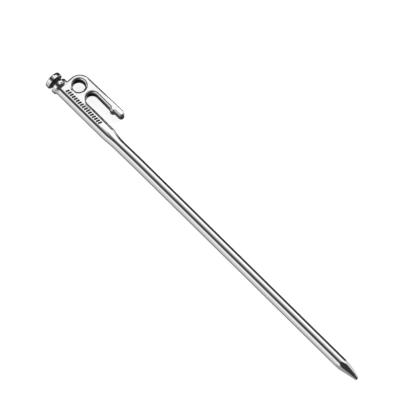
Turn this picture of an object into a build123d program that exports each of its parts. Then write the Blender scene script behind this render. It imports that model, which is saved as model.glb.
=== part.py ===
"""Tent stake, cast in one piece of stainless steel and split here into its working zones.

+X runs along the stake from the strike face to the tip, +Y points to the hook's side, and +Z out
of the face that carries the mark. The origin is the centre of the strike face. Millimetres.

Neighbouring zones meet face to face on planes across the stake, so together they are the whole
casting with nothing doubled and nothing missing.
"""
import os
from math import cos, radians, sin, tan

from build123d import *

os.makedirs("parts", exist_ok=True)

# Lengths along the stake
overall_length = 300.0
cap_length = 3.6
neck_length = 2.8
collar_length = 2.6
flare_length = 1.8
shoulder_start = 56.6
shoulder_length = 10.4
root_length = 21.0
point_length = 18.0

# Round sections about the stake's axis
cap_radius = 6.2
cap_crown_radius = 0.9
cap_edge_radius = 0.4
neck_radius = 4.1
collar_radius = 6.1
collar_edge_radius = 0.4
shank_radius = 4.1

# Flat plate with the half-round back
plate_thickness = 8.0
edge_radius = 1.3
head_edge_gap = 0.4
corner_radius = 8.6
corner_centre_y = 9.3
top_edge_rise = 0.4
back_centre_y = -1.0
root_centre_y = -0.2

# Guy-line eye
eye_x = 17.3
eye_y = 9.15
eye_radius = 4.4

# Slot and hook arm
slot_end_x = 26.25
slot_radius = 4.3
slot_bottom_y = 4.65
slot_top_rise = 0.25
hook_tip_x = 53.8
barb_x = 45.3
barb_radius = 2.1
barb_depth = 1.2
barb_root_radius = 1.2
tip_step = 0.35

# Hexagonal point
point_sides = 6
point_draft = 0.5
point_taper = 8.8
point_turn = 15.7
point_shift = 0.2
nose_radius = 1.9

# Mark: a row of plain slanted bars
bar_count = 17
bar_pitch = 2.0
bar_width = 0.9
bar_height = 2.9
bar_slant = 20.0
bar_depth = 0.3
first_bar_x = 15.0
mark_centre_y = 0.5

# Places that follow from the sizes
collar_start = cap_length + neck_length
collar_end = collar_start + collar_length
plate_start = collar_end + head_edge_gap
plate_half = plate_thickness / 2
back_radius = plate_half
corner_centre_x = plate_start + corner_radius
slot_centre_x = slot_end_x + slot_radius
slot_centre_y = slot_bottom_y + slot_radius
slot_top_y = slot_bottom_y + 2 * slot_radius
shoulder_end = shoulder_start + shoulder_length
root_end = shoulder_end + root_length
point_start = overall_length - point_length


def top_edge_y(x):
    """Height of the hook's outer edge, which rises slowly from the corner to the tip."""
    run = (x - corner_centre_x) / (hook_tip_x - corner_centre_x)
    return corner_centre_y + corner_radius + top_edge_rise * run


def outline_edges(part, x_low, x_high):
    """Edges round both flat faces, without those on the planes where zones meet."""
    edges = part.faces().filter_by(Axis.Z).edges()
    edges = edges.filter_by_position(Axis.X, x_low, x_high, inclusive=(False, False))
    return edges.filter_by_position(Axis.Y, back_centre_y, top_edge_y(x_high), inclusive=(False, True))


def bar_section(centre_y, radius, top_y):
    """The bar's cross-section, seen along it: half-round back, flat faces, rounded front."""
    front_y = top_y - edge_radius
    edge_z = radius - edge_radius
    turn = edge_radius * sin(radians(45))
    with BuildSketch() as section:
        with BuildLine():
            ThreePointArc((centre_y, radius), (centre_y - radius, 0), (centre_y, -radius))
            Line((centre_y, -radius), (front_y, -radius))
            ThreePointArc((front_y, -radius), (front_y + turn, -edge_z - turn), (top_y, -edge_z))
            Line((top_y, -edge_z), (top_y, edge_z))
            ThreePointArc((top_y, edge_z), (front_y + turn, edge_z + turn), (front_y, radius))
            Line((front_y, radius), (centre_y, radius))
        make_face()
    return section.sketch


def bar_places(x_low, x_high):
    """Centres of the mark's bars that lie wholly between two planes across the stake."""
    reach = bar_width / 2 + bar_height / 2 * tan(radians(bar_slant))
    places = [(first_bar_x + bar_pitch * i, mark_centre_y) for i in range(bar_count)]
    return [place for place in places if x_low + reach < place[0] < x_high - reach]


def draw_bars(places):
    """Slanted bars on the marked face."""
    with Locations(*places):
        Rectangle(bar_width, bar_height, rotation=-bar_slant)


# Striking cap: the round head that the mallet hits, with a softened crown
with BuildPart() as striking_cap:
    with BuildSketch(Plane.YZ):
        Circle(cap_radius)
    extrude(amount=cap_length)
    fillet(striking_cap.edges().sort_by(Axis.X)[0], cap_crown_radius)
    fillet(striking_cap.edges().sort_by(Axis.X)[-1], cap_edge_radius)
striking_cap.part.label = "striking_cap"
export_step(striking_cap.part, "parts/striking_cap.step")

# Puller neck: the groove between cap and collar, where a puller or a loop of cord grips
with BuildPart() as puller_neck:
    with BuildSketch(Plane.YZ.offset(cap_length)):
        Circle(neck_radius)
    extrude(amount=neck_length)
puller_neck.part.label = "puller_neck"
export_step(puller_neck.part, "parts/puller_neck.step")

# Stop collar: the second flange, which closes the groove
with BuildPart() as stop_collar:
    with BuildSketch(Plane.YZ.offset(collar_start)):
        Circle(collar_radius)
    extrude(amount=collar_length)
    fillet(stop_collar.edges().sort_by(Axis.X)[0], collar_edge_radius)
stop_collar.part.label = "stop_collar"
export_step(stop_collar.part, "parts/stop_collar.step")

# Eye plate: the plate's head end, with the guy-line eye and the slot's closed end
with BuildPart() as eye_plate:
    with BuildSketch(Plane.XY.offset(-plate_half)):
        with BuildLine():
            Line((plate_start, back_centre_y), (plate_start, corner_centre_y))
            RadiusArc(
                (plate_start, corner_centre_y),
                (corner_centre_x, corner_centre_y + corner_radius),
                corner_radius,
            )
            Polyline(
                (corner_centre_x, corner_centre_y + corner_radius),
                (slot_centre_x, top_edge_y(slot_centre_x)),
                (slot_centre_x, back_centre_y),
                (plate_start, back_centre_y),
            )
        make_face()
        with Locations((eye_x, eye_y)):
            Circle(eye_radius, mode=Mode.SUBTRACT)
        with Locations((slot_centre_x, slot_centre_y)):
            Circle(slot_radius, mode=Mode.SUBTRACT)
    extrude(amount=plate_thickness)
    fillet(outline_edges(eye_plate, collar_end, slot_centre_x), edge_radius)
    with BuildSketch(Plane.YZ.offset(collar_end)):
        with BuildLine():
            ThreePointArc(
                (back_centre_y, back_radius),
                (back_centre_y - back_radius, 0),
                (back_centre_y, -back_radius),
            )
            Line((back_centre_y, -back_radius), (back_centre_y, back_radius))
        make_face()
    extrude(amount=slot_centre_x - collar_end)
    with BuildSketch(Plane.XY):
        with BuildLine():
            Polyline(
                (collar_end, 0),
                (collar_end, collar_radius),
                (collar_end + flare_length, plate_half),
                (collar_end + flare_length, 0),
                close=True,
            )
        make_face()
    revolve(axis=Axis.X)
    with BuildSketch(Plane.XY.offset(plate_half)):
        draw_bars(bar_places(plate_start, slot_centre_x))
    extrude(amount=-bar_depth, mode=Mode.SUBTRACT)
eye_plate.part.label = "eye_plate"
export_step(eye_plate.part, "parts/eye_plate.step")

# Hook arm: the free arm over the slot, with the barb that keeps the guy line in
tip_y = top_edge_y(hook_tip_x)
barb_wall_y = slot_top_y + slot_top_rise
barb_centre_y = barb_wall_y - barb_depth + barb_radius
tip_bottom_y = barb_wall_y + tip_step
tip_radius = (tip_y - tip_bottom_y) / 2
tip_centre_x = hook_tip_x - tip_radius
with BuildPart() as hook_arm:
    with BuildSketch(Plane.XY.offset(-plate_half)) as arm_outline:
        with BuildLine():
            Polyline(
                (slot_centre_x, slot_top_y),
                (barb_x, barb_wall_y),
                (barb_x, tip_bottom_y),
                (tip_centre_x, tip_bottom_y),
            )
            ThreePointArc(
                (tip_centre_x, tip_bottom_y),
                (hook_tip_x, (tip_bottom_y + tip_y) / 2),
                (tip_centre_x, tip_y),
            )
            Polyline(
                (tip_centre_x, tip_y),
                (slot_centre_x, top_edge_y(slot_centre_x)),
                (slot_centre_x, slot_top_y),
            )
        make_face()
        with Locations((barb_x, barb_centre_y)):
            Circle(barb_radius)
        barb_roots = arm_outline.vertices().sort_by_distance((barb_x, barb_wall_y))[:2]
        fillet(barb_roots, barb_root_radius)
    extrude(amount=plate_thickness)
    fillet(outline_edges(hook_arm, slot_centre_x, overall_length), edge_radius)
hook_arm.part.label = "hook_arm"
export_step(hook_arm.part, "parts/hook_arm.step")

# Spine: the bar beside the slot, flat on both faces with a half-round back
spine_section = bar_section(back_centre_y, back_radius, slot_bottom_y)
with BuildPart() as spine:
    with BuildSketch(Plane.YZ.offset(slot_centre_x)):
        add(spine_section)
    extrude(amount=shoulder_start - slot_centre_x)
    with BuildSketch(Plane.XY.offset(plate_half)):
        draw_bars(bar_places(slot_centre_x, shoulder_start))
    extrude(amount=-bar_depth, mode=Mode.SUBTRACT)
spine.part.label = "spine"
export_step(spine.part, "parts/spine.step")

# Mark fill: black enamel, level with the face, in the pockets of both zones
with BuildPart() as mark_fill:
    with BuildSketch(Plane.XY.offset(plate_half - bar_depth)):
        draw_bars(bar_places(plate_start, slot_centre_x))
        draw_bars(bar_places(slot_centre_x, shoulder_start))
    extrude(amount=bar_depth)
mark_fill.part.label = "mark_fill"
export_step(mark_fill.part, "parts/mark_fill.step")

# Shoulder: where the flat-sided bar narrows into the round shank
with BuildPart() as shoulder:
    with BuildSketch(Plane.YZ.offset(shoulder_start)):
        add(spine_section)
    with BuildSketch(Plane.YZ.offset(shoulder_end)):
        with Locations((root_centre_y, 0)):
            Circle(shank_radius)
    loft()
shoulder.part.label = "shoulder"
export_step(shoulder.part, "parts/shoulder.step")

# Shank: runs slightly off centre at its root, then straight and round to the point
with BuildPart() as shank:
    with BuildSketch(Plane.YZ.offset(shoulder_end)):
        with Locations((root_centre_y, 0)):
            Circle(shank_radius)
    with BuildSketch(Plane.YZ.offset(root_end)):
        Circle(shank_radius)
    loft()
    with BuildSketch(Plane.YZ.offset(root_end)):
        Circle(shank_radius)
    extrude(amount=point_start - root_end)
shank.part.label = "shank"
export_step(shank.part, "parts/shank.step")

# Driving point: six ground facets with a blunt nose, turned a little against the plate. Between
# the facets the bar's skin has a slight draft towards the tip.
facet_reach = shank_radius / cos(radians(180 / point_sides))
shift_y = point_shift * cos(radians(point_turn))
shift_z = point_shift * sin(radians(point_turn))
nose_start = overall_length - nose_radius
with BuildPart() as driving_point:
    with BuildSketch(Plane.YZ.offset(point_start)):
        Circle(shank_radius)
    extrude(amount=point_length, taper=point_draft)
    with BuildSketch(Plane.YZ.offset(point_start)):
        with Locations((shift_y, shift_z)):
            RegularPolygon(facet_reach, point_sides, rotation=point_turn)
    extrude(amount=point_length, taper=point_taper, mode=Mode.INTERSECT)
    with BuildSketch(Plane.XY):
        with BuildLine():
            Line((point_start, 0), (point_start, 2 * shank_radius))
            Line((point_start, 2 * shank_radius), (nose_start, nose_radius))
            ThreePointArc(
                (nose_start, nose_radius),
                (nose_start + nose_radius * cos(radians(45)), nose_radius * sin(radians(45))),
                (overall_length, 0),
            )
            Line((overall_length, 0), (point_start, 0))
        make_face()
    revolve(axis=Axis.X, mode=Mode.INTERSECT)
driving_point.part.label = "driving_point"
export_step(driving_point.part, "parts/driving_point.step")
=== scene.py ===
# %% [markdown]
# # A polished cast tent stake
#
# The real stake is one investment casting in stainless steel, 300 mm long, polished all over. It
# has a round head to strike, a groove and a collar, a flat plate with an eye and a hooked slot for
# guy lines, a long round shank and a ground six-sided point. Its only second material is the black
# enamel of the mark.
#
# In this lesson each named part of the casting becomes its own mesh, made with bmesh operators and
# placed where the measured model says. The looks of polished steel come mostly from what it
# reflects, so the studio's light gets as much care as the metal.

import math

import bmesh
import bpy
from mathutils import Matrix, Vector


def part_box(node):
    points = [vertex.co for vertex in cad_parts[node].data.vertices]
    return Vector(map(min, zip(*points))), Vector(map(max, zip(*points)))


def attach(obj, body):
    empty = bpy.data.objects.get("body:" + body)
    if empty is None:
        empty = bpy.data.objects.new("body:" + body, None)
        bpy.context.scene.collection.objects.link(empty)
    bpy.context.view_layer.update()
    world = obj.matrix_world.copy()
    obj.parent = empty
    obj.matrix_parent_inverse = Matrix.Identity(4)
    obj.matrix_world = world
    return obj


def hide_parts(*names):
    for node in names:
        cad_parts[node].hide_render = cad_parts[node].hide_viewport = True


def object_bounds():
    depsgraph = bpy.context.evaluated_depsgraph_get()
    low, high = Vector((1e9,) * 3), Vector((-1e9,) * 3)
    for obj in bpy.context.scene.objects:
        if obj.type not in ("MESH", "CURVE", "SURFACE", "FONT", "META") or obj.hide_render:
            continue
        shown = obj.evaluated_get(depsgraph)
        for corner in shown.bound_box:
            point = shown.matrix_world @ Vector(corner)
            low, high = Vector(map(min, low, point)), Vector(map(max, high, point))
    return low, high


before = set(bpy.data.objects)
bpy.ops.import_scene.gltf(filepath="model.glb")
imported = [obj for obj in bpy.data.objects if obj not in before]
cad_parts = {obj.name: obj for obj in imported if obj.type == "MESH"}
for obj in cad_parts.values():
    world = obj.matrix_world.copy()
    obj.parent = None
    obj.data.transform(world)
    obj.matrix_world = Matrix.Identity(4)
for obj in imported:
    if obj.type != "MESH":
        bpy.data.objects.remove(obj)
cad_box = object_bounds()
print("measured model, mm:", [round(side * 1000, 1) for side in cad_box[1] - cad_box[0]])

# %% [markdown]
# ## Sizes from the frame
#
# A casting's drawing is in millimetres, and Blender works in metres. The meshes below are drawn in
# millimetres and scaled once, when they are finished. Planes and radii that the measured model
# already has are read from its boxes, so that nothing is placed by eye.


# %% Read the stations along the stake
def box_mm(node):
    """Lowest and highest corner of a measured part, in millimetres."""
    low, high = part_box(node)
    return low * 1000, high * 1000


cap_end = box_mm("striking_cap")[1].x
cap_radius = box_mm("striking_cap")[1].z
collar_start, collar_end = (corner.x for corner in box_mm("stop_collar"))
collar_radius = box_mm("stop_collar")[1].z
neck_radius = box_mm("puller_neck")[1].z
slot_plane = box_mm("spine")[0].x
spine_end = box_mm("spine")[1].x
plate_half = box_mm("spine")[1].z
hook_tip = box_mm("hook_arm")[1].x
hook_top = box_mm("hook_arm")[1].y
shoulder_end = box_mm("shoulder")[1].x
shank_radius = box_mm("shank")[1].z
point_start, point_end = (corner.x for corner in box_mm("driving_point"))
print(f"plate to {slot_plane:.1f}, spine to {spine_end:.1f}, shoulder to {shoulder_end:.1f}")
print(f"point from {point_start:.1f} to {point_end:.1f}")

# %% [markdown]
# ## Writing shaders as sums
#
# Node trees get long when every sum is a node made by hand. A small class wraps a socket, and
# Python's own + - * / on it add the Math nodes. Every other node comes from one method, which takes
# the node's type, its settings and what feeds its sockets, and a few short methods on top of it
# cover what every finish here needs: noise, a bump, a mix of two colours and the shader itself.


# %% Wrap sockets so that shader maths reads as maths
class Wire:
    """An output socket that can be added, multiplied and so on."""

    def __init__(self, bench, socket):
        self.bench = bench
        self.socket = socket

    def math(self, operation, *others):
        feeds = dict(enumerate((self, *others)))
        return self.bench.node("ShaderNodeMath", {"operation": operation}, feeds)

    def __add__(self, other):
        return self.math("ADD", other)

    def __sub__(self, other):
        return self.math("SUBTRACT", other)

    def __rsub__(self, other):
        return self.math("MULTIPLY", -1.0).math("ADD", other)

    def __mul__(self, other):
        return self.math("MULTIPLY", other)

    def __truediv__(self, other):
        return self.math("DIVIDE", other)

    __radd__ = __add__
    __rmul__ = __mul__


class Bench:
    """A node tree under construction."""

    def __init__(self, tree):
        self.tree = tree
        tree.nodes.clear()

    def node(self, kind, settings=None, feeds=None, output=0):
        made = self.tree.nodes.new(kind)
        for name, value in (settings or {}).items():
            if name == "stops":
                self.set_stops(made.color_ramp, value)
            else:
                setattr(made, name, value)
        for name, value in (feeds or {}).items():
            if isinstance(value, Wire):
                self.tree.links.new(value.socket, made.inputs[name])
            else:
                made.inputs[name].default_value = value
        return Wire(self, made.outputs[output]) if made.outputs else made

    def noise(self, vector, scale, detail):
        feeds = {"Vector": vector, "Scale": scale, "Detail": detail}
        return self.node("ShaderNodeTexNoise", feeds=feeds)

    def bump(self, height, strength, distance, **more):
        feeds = {"Height": height, "Strength": strength, "Distance": distance} | more
        return self.node("ShaderNodeBump", feeds=feeds)

    def mix_colours(self, factor, first, second):
        """Mix two colours; the node keeps them in its inputs 6 and 7."""
        feeds = {0: factor, 6: first, 7: second}
        return self.node("ShaderNodeMix", {"data_type": "RGBA"}, feeds, output=2)

    def shade(self, feeds):
        """End the tree in a Principled shader."""
        shader = self.node("ShaderNodeBsdfPrincipled", feeds=feeds)
        self.node("ShaderNodeOutputMaterial", feeds={"Surface": shader})

    @staticmethod
    def set_stops(ramp, stops):
        while len(ramp.elements) > 1:
            ramp.elements.remove(ramp.elements[-1])
        for index, (place, level) in enumerate(stops):
            stop = ramp.elements[0] if index == 0 else ramp.elements.new(place)
            stop.position = place
            stop.color = (level, level, level, 1.0)


def new_finish(name):
    """An empty material, and a bench to build its nodes on."""
    material = bpy.data.materials.new(name)
    material.use_nodes = True
    return material, Bench(material.node_tree)


# %% [markdown]
# ## Camera
#
# The stake lies on a table and is looked down on from a long way off with a long lens, so its
# sides stay nearly parallel. The camera's place is a direction and a distance from the point that
# it looks at, and it isn't rolled, so the stake crosses the frame at a slant by itself.

# %% Set up the camera
look_at = Vector((0.14324, 0.01212, 0.0))
azimuth, elevation = math.radians(46.76), math.radians(67.5)
camera_distance = 8.0
focal_length, sensor_width, farthest_seen = 1019.8, 36.0, 60.0
towards_camera = Vector((
    math.sin(azimuth) * math.cos(elevation),
    -math.cos(azimuth) * math.cos(elevation),
    math.sin(elevation),
))
camera_data = bpy.data.cameras.new("long_lens")
camera_data.lens = focal_length
camera_data.sensor_width = sensor_width
camera_data.clip_end = farthest_seen
camera = bpy.data.objects.new("camera", camera_data)
camera.location = look_at + towards_camera * camera_distance
camera.rotation_euler = towards_camera.to_track_quat("Z", "Y").to_euler()
bpy.context.scene.collection.objects.link(camera)
bpy.context.scene.camera = camera
bpy.context.scene.view_settings.view_transform = "Standard"
print("camera at, m:", [round(value, 3) for value in camera.location])

# %% [markdown]
# ## Studio
#
# Polished steel shows its surroundings. A catalogue studio hangs large soft panels round the
# object and leaves a dark gap where the camera stands, and a round bar turns that into long bright
# and dark bands. Here the world is such a set of panels: its brightness depends on the direction,
# first on the turn round the stake's own axis from straight up towards the hook, as the list of
# degrees and levels says.
#
# The two ends of the studio are dark, and each has smaller panels of its own. They show on edges
# that face the head or the tip, and when the stake is seen from behind. No panel has a hard edge:
# each fades in between two directions.

# %% Hang the soft panels
PANELS = [
    (-180, 0.06), (-165, 0.08), (-150, 0.20), (-138, 0.34), (-121, 0.62), (-106, 0.90), (-94, 0.82),
    (-82, 0.78), (-71, 1.10), (-61, 1.40), (-51, 1.20), (-41, 0.36), (-31, 0.08), (-21, 0.03),
    (-12, 0.06), (-3, 0.22), (6, 0.46), (16, 0.72), (25, 1.05), (36, 1.42), (47, 1.70), (58, 1.35),
    (70, 0.14), (84, 0.02), (100, 0.02), (120, 0.10), (140, 0.08), (160, 0.05), (180, 0.05),
]
world = bpy.data.worlds.new("soft_panels")
world.use_nodes = True
bpy.context.scene.world = world
bench = Bench(world.node_tree)
direction = bench.node("ShaderNodeTexCoord", output="Generated")
split = {
    axis: bench.node("ShaderNodeSeparateXYZ", feeds={"Vector": direction}, output=axis)
    for axis in "XYZ"
}
turn = split["Y"].math("ARCTAN2", split["Z"]) / (2 * math.pi) + 0.5
BRIGHTEST = max(level for _, level in PANELS)
stops = [(0.5 + degrees / 360, level / BRIGHTEST) for degrees, level in PANELS]
around = bench.node("ShaderNodeValToRGB", {"stops": stops}, {"Fac": turn}) * BRIGHTEST


def fade(value, start, end):
    """A smooth step from 0 to 1 between two values."""
    feeds = {"Value": value, "From Min": start, "From Max": end}
    return bench.node("ShaderNodeMapRange", {"interpolation_type": "SMOOTHSTEP"}, feeds)


TIP_DARK, HEAD_DARK = 0.06, 0.05
SIDE_LEVEL, BACK_LEVEL, FRONT_LEVEL, END_LEVEL = 0.9, 0.8, 0.6, 0.7
tipward = fade(split["X"] - split["Z"] * 0.35, 0.05, 0.45)
headward = fade(split["X"], -0.65, -0.75)
side_panel = fade(split["X"], -0.24, -0.14) * fade(split["Y"], 0.80, 0.95)
back_panel = fade(split["Y"], 0.30, 0.55) * fade(split["Z"], 0.20, -0.05)
front_panel = fade(split["Y"], -0.52, -0.70) * fade(split["Z"], 0.40, 0.00)
end_panel = fade(split["Y"], -0.10, -0.30)
middle = around * (1 - side_panel) + SIDE_LEVEL * side_panel
at_head = HEAD_DARK + (END_LEVEL - HEAD_DARK) * end_panel
at_tip = TIP_DARK + (BACK_LEVEL - TIP_DARK) * back_panel + (FRONT_LEVEL - TIP_DARK) * front_panel
strength = middle * (1 - headward) + at_head * headward
strength = strength * (1 - tipward) + at_tip * tipward
sky = bench.node("ShaderNodeBackground", feeds={"Strength": strength})
bench.node("ShaderNodeOutputWorld", feeds={"Surface": sky})
print("panels:", len(PANELS), "levels round the stake")

# %% [markdown]
# One more soft panel hangs close over the head. The plate's flat faces mirror it and turn almost
# white, while the shank, further along, doesn't see it.

# %% Hang the head panel
PANEL_DISTANCE = 0.22
head_centre = Vector((0.034, 0.007, plate_half / 1000))
mirrored = Vector((-towards_camera.x, -towards_camera.y, towards_camera.z))
head_panel = bpy.data.lights.new("head_panel", "AREA")
head_panel.shape = "RECTANGLE"
head_panel.size, head_panel.size_y = 0.075, 0.060
head_panel.energy = 0.007
panel = bpy.data.objects.new("head_panel", head_panel)
panel.location = head_centre + mirrored * PANEL_DISTANCE
panel.rotation_euler = mirrored.to_track_quat("Z", "Y").to_euler()
panel.visible_camera = False
bpy.context.scene.collection.objects.link(panel)
print("head panel at, mm:", [round(value * 1000) for value in panel.location])

# %% [markdown]
# The rest of the studio is paper and card. The floor and the dome are what the camera sees behind
# the stake. They are plain and pale, and are left out of the reflections, which the panels supply.
#
# The cards are the opposite: black, and seen in reflections only. Pale steel on a pale floor has
# no outline, so a studio hangs small black cards near it, and the rounded edges that mirror them
# turn dark. They hang on the hook's side of the stake and lean in over it. Three of them do this
# better than a single wide one, since each can be kept to the edge that it has to draw.


# %% Lay the floor and raise the dome
def staged(name, bm, tone, emission, *hidden_from):
    """Make a mesh a piece of studio scenery, hidden from the named kinds of ray."""
    mesh = bpy.data.meshes.new(name)
    bm.to_mesh(mesh)
    bm.free()
    scenery = bpy.data.objects.new(name, mesh)
    bpy.context.scene.collection.objects.link(scenery)
    paper, shop = new_finish(name)
    feeds = {"Base Color": (tone, tone, tone, 1), "Roughness": 0.9}
    feeds |= {"Emission Color": (1, 1, 1, 1), "Emission Strength": emission}
    shop.shade(feeds)
    mesh.materials.append(paper)
    for ray in hidden_from:
        setattr(scenery, f"visible_{ray}", False)


FLOOR_REACH, DOME_RADIUS = 15.0, 14.0
FLOOR_GLOW, DOME_GLOW = 0.8, 1.0
PALE, BLACK = 0.9, 0.03
floor = bmesh.new()
bmesh.ops.create_grid(floor, x_segments=1, y_segments=1, size=FLOOR_REACH)
bmesh.ops.translate(floor, verts=floor.verts, vec=(0, 0, cad_box[0].z))
staged("floor", floor, PALE, FLOOR_GLOW, "glossy")
dome = bmesh.new()
bmesh.ops.create_icosphere(dome, subdivisions=4, radius=DOME_RADIUS)
bmesh.ops.reverse_faces(dome, faces=dome.faces)
staged("dome", dome, PALE, DOME_GLOW, "glossy", "diffuse", "shadow")
print("floor at, mm:", round(cad_box[0].z * 1000, 1))

# %% Hang the black cards
CARD_DISTANCE = 0.144
CARDS = (
    ("corner_card", Vector((-0.0940, 0.0139, 0.004)), 55, 0.090, 0.115),
    ("plate_card", Vector((-0.0190, 0.0139, 0.004)), 40, 0.022, 0.105),
    ("spine_card", Vector((0.0045, 0.0045, 0.003)), 73, 0.032, 0.090),
)
for name, aim, lean, width, height in CARDS:
    card = bmesh.new()
    bmesh.ops.create_grid(card, x_segments=1, y_segments=1, size=0.5)
    bmesh.ops.scale(card, verts=card.verts, vec=(width, height, 1))
    leaning = Matrix.Rotation(-math.radians(lean), 3, "X")
    bmesh.ops.rotate(card, verts=card.verts, cent=(0, 0, 0), matrix=leaning)
    away = leaning @ Vector((0, 0, CARD_DISTANCE))
    bmesh.ops.translate(card, verts=card.verts, vec=aim + away)
    staged(name, card, BLACK, 0.0, "camera", "diffuse", "shadow")
    print(f"{name}: {width * 1000:.0f} by {height * 1000:.0f} mm, leaning {lean} degrees")

# %% [markdown]
# ## Finishes
#
# The casting is ground and then polished on wheels. That leaves a mirror that isn't quite perfect:
# fine lines in the direction of the wheel, a little cloudiness, and the slight waviness of cast
# metal. On the bar and plate the lines run along the stake. On the cap and collar, which are
# dressed while they turn, the lines run round it. One function makes both, from a coordinate that
# is stretched one way or the other.
#
# The wall of the eye, and the slot's closed end and upper wall, carry painted shade: a near-black,
# rough and cloudy colour that stands in for the shade and dark reflections inside the holes. The
# casting's mesh carries a number that is 1 there and 0 elsewhere, and the finish goes from polished
# steel to the painted shade with it.


# %% Mix the polished steel
def painted_shade_mottle(shop, place):
    """Mottling and near-black colour of the painted shade in the groove and the holes."""
    scale = shop.noise(place, scale=700.0, detail=4.0)
    tone = shop.mix_colours(scale, (0.018, 0.018, 0.017, 1), (0.075, 0.073, 0.071, 1))
    return scale, tone


LINES_ROUND, LINES_ACROSS, LINES_ALONG = 5000, 4000, 60


def polished(name, lines_round):
    """Polished steel, with the wheel's lines round the stake or along it."""
    steel, shop = new_finish(name)
    place = shop.node("ShaderNodeTexCoord", output="Object")
    x, y, z = (
        shop.node("ShaderNodeSeparateXYZ", feeds={"Vector": place}, output=axis) for axis in "XYZ"
    )
    if lines_round:
        stretch = {"X": x * LINES_ROUND, "Y": (y * y + z * z).math("SQRT") * LINES_ROUND}
    else:
        stretch = {"X": x * LINES_ALONG, "Y": y * LINES_ACROSS, "Z": z * LINES_ACROSS}
    stretched = shop.node("ShaderNodeCombineXYZ", feeds=stretch)
    lines = shop.noise(stretched, scale=1.0, detail=2.0)
    cloud = shop.noise(place, scale=180.0, detail=3.0)
    swell = shop.noise(place, scale=90.0, detail=1.0)
    steel_tone = shop.mix_colours(
        cloud * 0.6 + lines * 0.4, (0.84, 0.84, 0.845, 1), (0.93, 0.93, 0.93, 1)
    )
    # Painted shade: where the mesh's number is 1, the walls inside the eye and slot turn near
    # black.
    painted_wall_shade = shop.node("ShaderNodeAttribute", {"attribute_name": "painted_wall_shade"}, output="Fac")
    scale, shade_tone = painted_shade_mottle(shop, place)
    gloss = 0.03 + 0.08 * lines + 0.05 * cloud
    waves = shop.bump(swell, strength=0.15, distance=0.0004)
    shop.shade({
        "Base Color": shop.mix_colours(painted_wall_shade, steel_tone, shade_tone),
        "Metallic": 1.0,
        "Roughness": gloss * (1 - painted_wall_shade) + (0.30 + 0.3 * scale) * painted_wall_shade,
        "Normal": shop.bump(lines, strength=0.12, distance=0.00002, Normal=waves),
    })
    return steel


steel_along = polished("steel_polished_along", lines_round=False)
steel_round = polished("steel_polished_round", lines_round=True)
print("steels:", steel_along.name, steel_round.name)

# %% [markdown]
# The neck in the groove between cap and collar is coloured near black and rough: painted shade
# for the shadow and dark reflections inside the groove.

# %% Mix the groove's painted shade
# Painted shade: a near-black, rough metal stands in for the shade inside the groove.
groove_shade, shop = new_finish("steel_groove_painted_shade")
place = shop.node("ShaderNodeTexCoord", output="Object")
scale, shade_tone = painted_shade_mottle(shop, place)
shop.shade({
    "Base Color": shade_tone,
    "Metallic": 0.8,
    "Roughness": 0.35 + 0.3 * scale,
    "Normal": shop.bump(scale, strength=0.3, distance=0.00005),
})
print("groove:", groove_shade.name)

# %% [markdown]
# The mark is filled with baked enamel. It is black but not perfectly so: thin places are a little
# lighter, and its gloss is uneven.

# %% Mix the enamel
enamel, shop = new_finish("black_enamel")
place = shop.node("ShaderNodeTexCoord", output="Object")
mottle = shop.noise(place, scale=900.0, detail=3.0)
shop.shade({
    "Base Color": shop.mix_colours(mottle, (0.010, 0.010, 0.011, 1), (0.030, 0.030, 0.032, 1)),
    "Roughness": 0.40 + 0.25 * mottle,
    "Specular IOR Level": 0.2,
    "Normal": shop.bump(mottle, strength=0.2, distance=0.00005),
})
print("mark:", enamel.name)

# %% [markdown]
# ## Finishing a piece
#
# Every piece ends the same way: doubles merged, faces turned outwards, scaled to metres, made an
# object at the origin, and told which body it rides, which measured part it stands for and which
# slot it fills. Edges sharper than a set angle stay crisp, and all others are shaded smoothly.


# %% Turn a bmesh into a finished piece
MERGE = 1e-4


def finish_piece(node, bm, finish, crisp=30.0):
    """Make the visual piece of a measured part; edges over crisp degrees stay sharp."""
    bmesh.ops.remove_doubles(bm, verts=bm.verts, dist=MERGE)
    bmesh.ops.recalc_face_normals(bm, faces=bm.faces)
    bmesh.ops.scale(bm, verts=bm.verts, vec=(0.001, 0.001, 0.001))
    for face in bm.faces:
        face.smooth = True
    open_edges = sum(1 for edge in bm.edges if not edge.is_manifold)
    mesh = bpy.data.meshes.new(node + "_visual")
    bm.to_mesh(mesh)
    bm.free()
    mesh.set_sharp_from_angle(angle=math.radians(crisp))
    mesh.materials.append(finish)
    piece = bpy.data.objects.new(node + "_visual", mesh)
    bpy.context.scene.collection.objects.link(piece)
    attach(piece, "root")
    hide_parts(node)
    print(f"{piece.name}: {len(mesh.polygons)} faces, {open_edges} open edges")
    return piece


# %% [markdown]
# ## Striking cap and puller neck
#
# Both are round, so both are turned: half a profile is drawn beside the axis and spun about it. The
# cap's strike face has a generous rounding, where mallet blows would chip a sharp edge. The neck
# meets the cap and the collar in small hollows, as any cast groove does.


# %% Turn a profile about the stake's axis
TURN_STEPS = 120


def turned(profile, rounds):
    """Spin a closed profile of (x, radius) corners; rounds gives a corner's rounding."""
    bm = bmesh.new()
    corners = [bm.verts.new((x, radius, 0)) for x, radius in profile]
    for start, end in zip(corners, corners[1:]):
        bm.edges.new((start, end))
    for index, size in rounds.items():
        bmesh.ops.bevel(
            bm, geom=[corners[index]], offset=size, segments=8, profile=0.5,
            affect="VERTICES", material=-1, clamp_overlap=False,
        )
    bmesh.ops.spin(
        bm, geom=bm.verts[:] + bm.edges[:], cent=(0, 0, 0), axis=(1, 0, 0), dvec=(0, 0, 0),
        angle=2 * math.pi, steps=TURN_STEPS, use_merge=True,
    )
    bmesh.ops.remove_doubles(bm, verts=bm.verts, dist=MERGE)
    return bm


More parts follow.
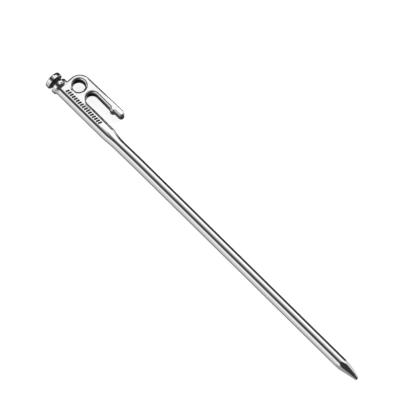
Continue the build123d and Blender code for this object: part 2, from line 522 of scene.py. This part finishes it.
# %% Turn the cap and the neck
STRIKE_ROUNDING, CAP_BACK_ROUNDING = 0.9, 0.4
HOLLOW, LIP = 0.5, 0.01
cap_profile = [(0, 0), (0, cap_radius), (cap_end, cap_radius), (cap_end, 0)]
cap = turned(cap_profile, {1: STRIKE_ROUNDING, 2: CAP_BACK_ROUNDING})
finish_piece("striking_cap", cap, steel_round)
neck_low, neck_high = cap_end + LIP, collar_start - LIP
flare = neck_radius + HOLLOW
neck_profile = [
    (cap_end, 0), (cap_end, flare), (neck_low, flare), (neck_low, neck_radius),
    (neck_high, neck_radius), (neck_high, flare), (collar_start, flare), (collar_start, 0),
]
# Painted shade: the neck takes the near-black groove finish.
finish_piece("puller_neck", turned(neck_profile, {3: HOLLOW, 4: HOLLOW}), groove_shade)

# %% [markdown]
# ## Stop collar with its root
#
# The collar is a disc, and the plate grows out of its far face through a hollow root. The root
# starts as a circle on the collar and ends on the plate's flat faces and half-round back. It is
# made by extruding the collar's border ring by ring and drawing each ring in from the circle
# towards the plate's outline. It leaves the collar steeply, flattens as it runs out, and ends a
# hair below the plate's surface, so that the two never share a face.

# %% Describe the root's outline
ROOT_START_RADIUS, ROOT_SIDE = 5.8, 5.4
back_centre = -1.0
root_half = plate_half - 0.06


def root_outline(angle):
    """Distance from the axis to the root's far outline in one direction round it."""
    along, up = math.cos(angle), abs(math.sin(angle))
    to_side = ROOT_SIDE / along if along > 0 else math.inf
    if up > 0.05 and root_half / up * along > back_centre:
        return min(root_half / up, to_side)
    if along > 0:
        return to_side
    centre = back_centre * along
    return centre + math.sqrt(centre**2 + root_half**2 - back_centre**2)


for degrees in (0, 90, 180):
    print(f"root reaches {root_outline(math.radians(degrees)):.2f} mm at {degrees} degrees")


# %% Grow a border ring by ring
def next_ring(bm, ring, place):
    """Extrude a ring of edges and put each new vertex where place(angle) says."""
    grown = bmesh.ops.extrude_edge_only(bm, edges=ring)["geom"]
    for vert in (item for item in grown if isinstance(item, bmesh.types.BMVert)):
        vert.co = place(math.atan2(vert.co.z, vert.co.y))
    edges = (item for item in grown if isinstance(item, bmesh.types.BMEdge))
    return [edge for edge in edges if is_square(edge)]


def is_square(edge):
    """Whether an edge lies in a plane square to the stake."""
    return abs(edge.verts[0].co.x - edge.verts[1].co.x) < 1e-6


def circle_at(x, radius):
    return lambda angle: (x, radius * math.cos(angle), radius * math.sin(angle))


# %% Grow the collar and its root
ROOT_LENGTH, ROOT_HOLLOW, ROOT_RINGS = 1.85, 1.4, 10
COLLAR_ROUNDING = 0.35
collar = bmesh.new()
bmesh.ops.create_circle(collar, cap_ends=False, radius=collar_radius, segments=TURN_STEPS)
upright = Matrix.Rotation(math.pi / 2, 3, "Y")
bmesh.ops.rotate(collar, verts=collar.verts, cent=(0, 0, 0), matrix=upright)
bmesh.ops.translate(collar, verts=collar.verts, vec=(collar_start, 0, 0))
bmesh.ops.holes_fill(collar, edges=collar.edges, sides=0)
ring = next_ring(collar, collar.edges[:], circle_at(collar_end, collar_radius))
ring = next_ring(collar, ring, circle_at(collar_end, ROOT_START_RADIUS))
for step in range(1, ROOT_RINGS + 1):
    run = step / ROOT_RINGS
    forward = ROOT_LENGTH * run
    inward = run * (ROOT_HOLLOW + (1 - ROOT_HOLLOW) * run)

    def root_place(angle):
        radius = ROOT_START_RADIUS + (root_outline(angle) - ROOT_START_RADIUS) * inward
        return (collar_end + forward, radius * math.cos(angle), radius * math.sin(angle))

    ring = next_ring(collar, ring, root_place)
bmesh.ops.holes_fill(collar, edges=[edge for edge in collar.edges if edge.is_boundary], sides=0)
rims = [
    edge for edge in collar.edges
    if all(abs(math.hypot(vert.co.y, vert.co.z) - collar_radius) < MERGE for vert in edge.verts)
    and is_square(edge)
]
bmesh.ops.bevel(
    collar, geom=rims, offset=COLLAR_ROUNDING, segments=6, profile=0.5, affect="EDGES",
    material=-1, clamp_overlap=True,
)
finish_piece("stop_collar", collar, steel_round)

# %% [markdown]
# ## The casting from plate to shank
#
# Plate, hook, spine, shoulder and shank are one flowing piece of metal, and its reflections only
# look right if the surface is continuous. So it is modelled once, whole, and divided afterwards.
#
# First the plate's outline is traced in one stroke, as a pattern maker would: straight runs, and
# arcs made by spinning the last point about the arc's centre. Some spare metal is left below the
# back and past the spine, and is trimmed away later.

# %% Set the plate's sizes
EDGE = 1.3
corner_x, corner_y = 18.0, 9.3
plate_start = 9.4
slot_y, slot_radius = 8.95, 4.3
eye_x, eye_y, eye_radius = 17.3, 9.0, 4.4
slot_wall_y, after_barb_y = 13.1, 13.8
spine_line, spine_rise = 5.2, 7.0
barb_x, barb_y, barb_radius, barb_root = 45.3, 14.3, 2.1, 1.2
tip_radius = (hook_top - after_barb_y) / 2
tip_x = hook_tip - tip_radius
SPARE_BELOW, SPARE_PAST = 3.0, 6.0
UP = (0, 0, 1)
print(f"slot's end {2 * slot_radius:.1f} mm across, eye {2 * eye_radius:.1f} mm")


# %% Make a pen that draws runs and arcs
def run_to(bm, pen, x, y):
    """Draw a straight run from the pen to a point."""
    end = bm.verts.new((x, y, 0))
    bm.edges.new((pen, end))
    return end


def sweep_about(bm, pen, x, y, degrees):
    """Draw an arc by spinning the pen's point about a centre."""
    arc = bmesh.ops.spin(
        bm, geom=[pen], cent=(x, y, 0), axis=UP, dvec=(0, 0, 0),
        angle=math.radians(degrees), steps=max(4, round(abs(degrees) / 5)), use_merge=False,
    )
    return next(item for item in arc["geom_last"] if isinstance(item, bmesh.types.BMVert))


def barb_hollow(wall_y, side):
    """Centre of the hollow between the barb and a wall, and the angle up to the barb's centre."""
    rise = barb_y - (wall_y - barb_root)
    reach = math.sqrt((barb_radius + barb_root) ** 2 - rise**2)
    return barb_x + side * reach, wall_y - barb_root, math.degrees(math.atan2(rise, reach))


# %% Trace the outline
casting = bmesh.new()
first = casting.verts.new((plate_start, back_centre - SPARE_BELOW, 0))
pen = run_to(casting, first, plate_start, corner_y)
pen = sweep_about(casting, pen, corner_x, corner_y, -90)
pen = run_to(casting, pen, tip_x, hook_top)
pen = sweep_about(casting, pen, tip_x, hook_top - tip_radius, -180)
far_x, far_y, far_angle = barb_hollow(after_barb_y, 1)
pen = run_to(casting, pen, far_x, after_barb_y)
pen = sweep_about(casting, pen, far_x, far_y, 90 - far_angle)
near_x, near_y, near_angle = barb_hollow(slot_wall_y, -1)
pen = sweep_about(casting, pen, barb_x, barb_y, far_angle + near_angle - 180)
pen = sweep_about(casting, pen, near_x, near_y, 90 - near_angle)
pen = run_to(casting, pen, slot_plane, slot_y + slot_radius)
pen = sweep_about(casting, pen, slot_plane, slot_y, 180)
pen = run_to(casting, pen, slot_plane + spine_rise, spine_line)
pen = run_to(casting, pen, spine_end + SPARE_PAST, spine_line)
pen = run_to(casting, pen, spine_end + SPARE_PAST, back_centre - SPARE_BELOW)
casting.edges.new((pen, first))
eye = bmesh.ops.create_circle(casting, cap_ends=False, radius=eye_radius, segments=72)
bmesh.ops.translate(casting, verts=eye["verts"], vec=(eye_x, eye_y, 0))
bmesh.ops.remove_doubles(casting, verts=casting.verts, dist=MERGE)
print("outline points:", len(casting.verts))

# %% [markdown]
# Next the outline is filled, and the flat face is drawn in by a series of insets that follow a
# quarter circle. Each inset goes a little inwards and a little up, so the plate's edge comes out
# rounded and the face stays perfectly flat. The walls are then drawn down from the outline. Each
# vertex remembers in its home where on the outline it began.

# %% Round the edge by insets
ROUND_STEPS = 7
bmesh.ops.triangle_fill(
    casting, edges=casting.edges[:], use_beauty=True, use_dissolve=False, normal=UP
)
bmesh.ops.recalc_face_normals(casting, faces=casting.faces)
if casting.faces[0].normal.z < 0:
    bmesh.ops.reverse_faces(casting, faces=casting.faces)
bmesh.ops.translate(casting, verts=casting.verts, vec=(0, 0, plate_half - EDGE))
home = casting.verts.layers.float_vector.new("home")
for vert in casting.verts:
    vert[home] = vert.co
flat_face = casting.faces[:]
for step in range(ROUND_STEPS):
    here, there = (math.pi / 2 * (step + extra) / ROUND_STEPS for extra in (0, 1))
    bmesh.ops.inset_region(
        casting, faces=flat_face, use_boundary=True, use_even_offset=True,
        thickness=EDGE * (math.cos(here) - math.cos(there)),
        depth=EDGE * (math.sin(there) - math.sin(here)),
    )
wall_top = [edge for edge in casting.edges if edge.is_boundary]
walls = bmesh.ops.extrude_edge_only(casting, edges=wall_top)["geom"]
foot = [item for item in walls if isinstance(item, bmesh.types.BMVert)]
print("insets:", ROUND_STEPS, "points round the walls:", len(foot))

# %% [markdown]
# A casting's edges aren't equally round. This one's are rounder at the eye, roundest along the
# spine, where a guy line slides, and tight at the hook's tip and barb. So each vertex's distance
# from its home is scaled by the share of rounding that this place has. The flat is filled again
# afterwards, since its border has moved.
#
# The same homes tell which walls get painted shade: the insides of the eye and of the slot. The
# painted shade fades in, so the number goes from 0 to 1 over the rounding's lower part.


# %% Say how round each edge is and where its wall gets painted shade
EYE_SHARE, EYE_UNEVEN = 1.45, 0.2
CORNER_SHARE, ARM_SHARE = 1.25, 1.5
SLOT_SHARE, BARB_SHARE = 1.4, 0.8
SPINE_FIRST, SPINE_SHARE = 1.45, 3.0
arm_top, arm_begins, arm_full, arm_narrowed = 15.5, 26, 34, 50
ARM_NARROWING, SLACK = 0.6, 0.1
slot_end = slot_plane - slot_radius


def blend(value, start, end, first, last):
    """Go from first to last while value goes from start to end."""
    return first + (last - first) * min(1.0, max(0.0, (value - start) / (end - start)))


def at_eye(x, y):
    """Whether a place on the outline belongs to the eye."""
    return math.hypot(x - eye_x, y - eye_y) < eye_radius + SLACK


def edge_share(x, y):
    """How much of the plate's usual rounding the edge has at a place on the outline."""
    if at_eye(x, y):
        return EYE_SHARE + EYE_UNEVEN * (x - eye_x - y + eye_y) / (eye_radius * math.sqrt(2))
    if x < slot_end - SLACK:
        return CORNER_SHARE
    if y > arm_top:
        share = blend(x, arm_begins, arm_full, CORNER_SHARE, ARM_SHARE)
        return share * blend(x, arm_full, arm_narrowed, 1.0, ARM_NARROWING)
    if y < slot_y:
        return blend(x, slot_plane - 3, slot_plane + 8, SPINE_FIRST, SPINE_SHARE)
    return blend(x, barb_x - 1.8, barb_x + 1.5, SLOT_SHARE, BARB_SHARE)


def wall_shade_share(x, y):
    """How much painted shade the wall below a place on the outline gets."""
    if at_eye(x, y):
        return 1.0
    if x < slot_end - SLACK or y > arm_top:
        return 0.0
    above_spine = blend(y, slot_y - slot_radius * 0.8, slot_y, 0.0, 1.0)
    return above_spine * blend(x, barb_x - 3, barb_x, 1.0, 0.0)


print(f"rounding at the eye {EDGE * EYE_SHARE:.1f}, along the spine {EDGE * SPINE_SHARE:.1f} mm")

# %% Scale the rounding and mark the walls
for vert in casting.verts:
    start = vert[home]
    share = edge_share(start.x, start.y)
    drop = plate_half - vert.co.z
    vert.co.x = start.x + (vert.co.x - start.x) * share
    vert.co.y = start.y + (vert.co.y - start.y) * share
    vert.co.z = plate_half - drop * share
for vert in foot:
    vert.co.z = 0
# Painted shade: 1 on the walls inside the eye and slot, where the finish turns near black.
painted_wall_shade = casting.verts.layers.float.new("painted_wall_shade")
for vert in casting.verts:
    start = vert[home]
    depth = (plate_half - vert.co.z) / (EDGE * edge_share(start.x, start.y))
    vert[painted_wall_shade] = wall_shade_share(start.x, start.y) * blend(depth, 0.35, 0.95, 0.0, 1.0)
bmesh.ops.delete(casting, geom=flat_face, context="FACES")
flat_border = [
    edge for edge in casting.edges
    if min(vert.co.z for vert in edge.verts) > plate_half - MERGE
]
bmesh.ops.triangle_fill(
    casting, edges=flat_border, use_beauty=True, use_dissolve=False, normal=UP
)
print("plate half, faces:", len(casting.faces))

# %% [markdown]
# The back of the plate and spine is half-round. The half plate is trimmed at the back's centre
# line, its border is spun a quarter turn about that line, and a mirror copy makes the other half.
# One more cut across, just before the shoulder, gives the spine points of its own there. Without
# it, the bend into the shoulder would tilt the reflections far along the spine.


# %% Spin the half-round back and mirror
def trim(bm, point, normal):
    """Cut away everything on the side that normal points to."""
    bmesh.ops.bisect_plane(
        bm, geom=bm.verts[:] + bm.edges[:] + bm.faces[:], dist=1e-5,
        plane_co=point, plane_no=normal, clear_outer=True, clear_inner=False,
    )


def edges_on(bm, axis, value):
    """Border edges that lie on a plane square to an axis."""
    return [
        edge for edge in bm.edges
        if edge.is_boundary and all(abs(vert.co[axis] - value) < MERGE for vert in edge.verts)
    ]


BACK_STEPS = 20
BEFORE_SHOULDER = 1.5
trim(casting, (0, back_centre, 0), (0, -1, 0))
trim(casting, (spine_end, 0, 0), (1, 0, 0))
bmesh.ops.bisect_plane(
    casting, geom=casting.verts[:] + casting.edges[:] + casting.faces[:], dist=1e-5,
    plane_co=(spine_end - BEFORE_SHOULDER, 0, 0), plane_no=(1, 0, 0),
    clear_outer=False, clear_inner=False,
)
border = edges_on(casting, 1, back_centre)
border_verts = list({vert for edge in border for vert in edge.verts})
bmesh.ops.spin(
    casting, geom=border_verts + border, cent=(0, back_centre, 0), axis=(1, 0, 0), dvec=(0, 0, 0),
    angle=math.pi / 2, steps=BACK_STEPS, use_merge=False,
)
bmesh.ops.remove_doubles(casting, verts=casting.verts, dist=MERGE)
bmesh.ops.mirror(
    casting, geom=casting.verts[:] + casting.edges[:] + casting.faces[:],
    matrix=Matrix.Identity(4), merge_dist=1e-3, axis="Z",
)
bmesh.ops.remove_doubles(casting, verts=casting.verts, dist=MERGE)
print("plate and spine, open borders:", sum(edge.is_boundary for edge in casting.edges))

# %% [markdown]
# The shoulder and the shank continue the spine's border. The border is extruded in steps, and each
# step moves its points part of the way from the spine's section to the shank's circle. The way
# there is a hollow curve, quick at first and slow at the end. The shank is slightly off centre
# where it begins, and comes back to the axis further along.

# %% Cut the border finely and remember its section
SECTION_STEP = 0.35
ring = edges_on(casting, 0, spine_end)
for edge in ring:
    cuts = int(edge.calc_length() / SECTION_STEP)
    if cuts:
        bmesh.ops.subdivide_edges(casting, edges=[edge], cuts=cuts)
ring = edges_on(casting, 0, spine_end)
section = casting.verts.layers.float_vector.new("section")
for vert in {vert for edge in ring for vert in edge.verts}:
    vert[section] = vert.co
print("points round the section:", len(ring))

# %% Grow the shoulder and the shank
SHOULDER_STEPS, SHOULDER_HOLLOW = 14, 1.6
root_y, root_end = -0.2, 88.0
SHANK_STATIONS = (72.0, 77.0, 82.0, root_end, 120.0, 160.0, 200.0, 240.0, point_start)


def shank_centre(x):
    """Height of the shank's centre line over the axis."""
    run = min(1.0, max(0.0, (x - shoulder_end) / (root_end - shoulder_end)))
    return root_y * (1 - run * run * (3 - 2 * run))


def grow(bm, ring, x, share):
    """Extrude the ring to x, with a share of the circle and the rest of the spine's section."""
    grown = bmesh.ops.extrude_edge_only(bm, edges=ring)["geom"]
    for vert in (item for item in grown if isinstance(item, bmesh.types.BMVert)):
        start = vert[section]
        angle = math.atan2(start.z, start.y - root_y)
        height = shank_centre(x) + shank_radius * math.cos(angle)
        circle = Vector((0, height, shank_radius * math.sin(angle)))
        vert.co = start.lerp(circle, share)
        vert.co.x = x
    edges = (item for item in grown if isinstance(item, bmesh.types.BMEdge))
    return [edge for edge in edges if is_square(edge)]


for step in range(1, SHOULDER_STEPS + 1):
    run = step / SHOULDER_STEPS
    x = spine_end + (shoulder_end - spine_end) * run
    ring = grow(casting, ring, x, 1 - (1 - run) ** SHOULDER_HOLLOW)
for x in SHANK_STATIONS:
    ring = grow(casting, ring, x, 1.0)
bmesh.ops.recalc_face_normals(casting, faces=casting.faces)
print("casting, faces:", len(casting.faces))

# %% [markdown]
# Before the casting is divided, each vertex stores the direction its surface faces. On the flats,
# the half-round back and the shank that is known exactly, and elsewhere the mesh's own average is
# good. The pieces keep these directions, so reflections run across the joints without a seam.

# %% Store the surface's directions
NEAR = 0.01
casting.normal_update()
facing = casting.verts.layers.float_vector.new("facing")
for vert in casting.verts:
    x, y, z = vert.co
    direction = vert.normal.copy()
    if x > shoulder_end - NEAR:
        direction = Vector((0, y - shank_centre(x), z))
    elif abs(z) > plate_half - MERGE and x < spine_end - NEAR and y > back_centre - 1e-3:
        direction = Vector((0, 0, z))
    elif y < back_centre and plate_start + EDGE < x < spine_end - NEAR:
        direction = Vector((0, y - back_centre, z))
    vert[facing] = direction.normalized()
print("directions stored:", len(casting.verts))

# %% [markdown]
# Each named part is a copy of the casting, trimmed at the planes where it begins and ends, and
# closed with a flat face where it meets its neighbour. Hook and spine begin at the same plane, so
# each drops what lies on the other side of the slot. The flat joint faces keep their own direction,
# and every other face takes the stored ones. The layers that only served the modelling are removed
# at the end.


# %% Divide the casting into its named parts
def divided(node, low_x, high_x, keep=lambda y: True):
    """One zone of the casting as a closed piece with the stored directions."""
    bm = casting.copy()
    if low_x is not None:
        trim(bm, (low_x, 0, 0), (-1, 0, 0))
    trim(bm, (high_x, 0, 0), (1, 0, 0))
    others = [vert for vert in bm.verts if not keep(vert.co.y)]
    bmesh.ops.delete(bm, geom=others, context="VERTS")
    bmesh.ops.holes_fill(bm, edges=[edge for edge in bm.edges if edge.is_boundary], sides=0)
    piece = finish_piece(node, bm, steel_along, crisp=180.0)
    mesh = piece.data
    stored = [Vector(item.vector).normalized() for item in mesh.attributes["facing"].data]
    loop_directions = [None] * len(mesh.loops)
    # A joint's face is square to the stake and has more corners than any other face.
    for polygon in mesh.polygons:
        is_joint = abs(polygon.normal.x) > 0.9999 and len(polygon.vertices) > 12
        for loop in polygon.loop_indices:
            vertex = mesh.loops[loop].vertex_index
            loop_directions[loop] = polygon.normal if is_joint else stored[vertex]
    mesh.normals_split_custom_set(loop_directions)
    for name in ("home", "section", "facing"):
        mesh.attributes.remove(mesh.attributes[name])
    return piece


divided("eye_plate", None, slot_plane)
divided("hook_arm", slot_plane, hook_tip + 1, keep=lambda y: y > slot_y)
divided("spine", slot_plane, spine_end, keep=lambda y: y < slot_y)
divided("shoulder", spine_end, shoulder_end)
divided("shank", shoulder_end, point_start + 1)
casting.free()

# %% [markdown]
# ## Driving point
#
# The point starts as a turned blank with a domed nose. A grinder then takes six flats off it, one
# after the other, and here six cuts with a plane do the same. The flats start a little way along,
# are turned a little against the plate and aren't quite centred, as hand grinding leaves them.
# Their edges are broken slightly, since nothing polished has a knife edge.

# %% Turn the blank
NOSE, NOSE_TAPER = 1.9, 7.4
blank_profile = [
    (point_start, 0), (point_start, shank_radius), (point_end - NOSE_TAPER, shank_radius),
    (point_end - NOSE, NOSE), (point_end, NOSE), (point_end, 0),
]
# A hair less than a full rounding, since the edges on both sides of it would vanish.
point = turned(blank_profile, {4: NOSE * 0.999})
print("blank, faces:", len(point.faces))

# %% Grind six flats
FLATS = 6
POINT_TAPER = math.radians(9.65)
FLATS_START = point_start + 2.0
POINT_TURN, POINT_SHIFT = 15.7, 0.3
RIDGE_ANGLE, RIDGE_BREAK = 25, 0.12


def round_axis(degrees):
    """The direction square to the stake at an angle round it."""
    return Vector((0, math.cos(math.radians(degrees)), math.sin(math.radians(degrees))))


for side in range(FLATS):
    outward = round_axis(POINT_TURN + (side + 0.5) * 360 / FLATS)
    start = Vector((FLATS_START, 0, 0)) + round_axis(POINT_TURN) * POINT_SHIFT
    start += outward * shank_radius
    slope = Vector((math.sin(POINT_TAPER), 0, 0)) + outward * math.cos(POINT_TAPER)
    trim(point, start, slope)
    open_edges = [edge for edge in point.edges if edge.is_boundary]
    bmesh.ops.holes_fill(point, edges=open_edges, sides=0)
bmesh.ops.recalc_face_normals(point, faces=point.faces)
point.normal_update()
ridges = [
    edge for edge in point.edges
    if edge.is_manifold and edge.calc_face_angle(0) > math.radians(RIDGE_ANGLE)
    and all(vert.co.x > point_start + 0.5 for vert in edge.verts)
]
print("ridges between flats:", len(ridges))
bmesh.ops.bevel(
    point, geom=ridges, offset=RIDGE_BREAK, segments=2, profile=0.5, affect="EDGES",
    material=-1, clamp_overlap=True,
)
finish_piece("driving_point", point, steel_along, crisp=6.5)

# %% [markdown]
# ## The mark
#
# A row of plain slanted bars stands for the mark. On the real stake each would be a shallow
# engraving filled with enamel, which stands a hair proud of the steel once it is baked. One box is
# shaped into a bar with softened corners and top edge, and copied along the row. The row is one
# mesh, since the filling is done in one go.

# %% Shape one bar
BAR_WIDTH, BAR_HEIGHT, PAD_DEPTH = 1.4, 2.9, 0.5
BAR_CORNER, BAR_TOP = 0.2, 0.05
slant = math.radians(20)
bar = bmesh.new()
bmesh.ops.create_cube(bar, size=1.0)
bmesh.ops.scale(bar, verts=bar.verts, vec=(BAR_WIDTH, BAR_HEIGHT, PAD_DEPTH))
uprights = [edge for edge in bar.edges if abs(edge.verts[0].co.z - edge.verts[1].co.z) > 0.1]
bmesh.ops.bevel(
    bar, geom=uprights, offset=BAR_CORNER, segments=4, profile=0.5, affect="EDGES", material=-1
)
tops = [edge for edge in bar.edges if min(vert.co.z for vert in edge.verts) > 0.1]
bmesh.ops.bevel(
    bar, geom=tops, offset=BAR_TOP, segments=2, profile=0.5, affect="EDGES", material=-1
)
bmesh.ops.rotate(bar, verts=bar.verts, cent=(0, 0, 0), matrix=Matrix.Rotation(-slant, 3, "Z"))
bar_mesh = bpy.data.meshes.new("bar")
bar.to_mesh(bar_mesh)
bar.free()
print("bar, faces:", len(bar_mesh.polygons))

# %% Fill the mark
BAR_PITCH, ROW_SHIFT, PAD_PROUD = 2.0, 0.1, 0.02
low, high = box_mm("mark_fill")
row_y = (low.y + high.y) / 2 + ROW_SHIFT
lift = plate_half + PAD_PROUD - PAD_DEPTH / 2
bar_x = low.x + BAR_WIDTH / 2 * math.cos(slant) + BAR_HEIGHT / 2 * math.sin(slant)
mark = bmesh.new()
while bar_x < high.x:
    before = len(mark.verts)
    mark.from_mesh(bar_mesh)
    bmesh.ops.translate(mark, verts=mark.verts[before:], vec=(bar_x, row_y, lift))
    bar_x += BAR_PITCH
finish_piece("mark_fill", mark, enamel, crisp=40.0)
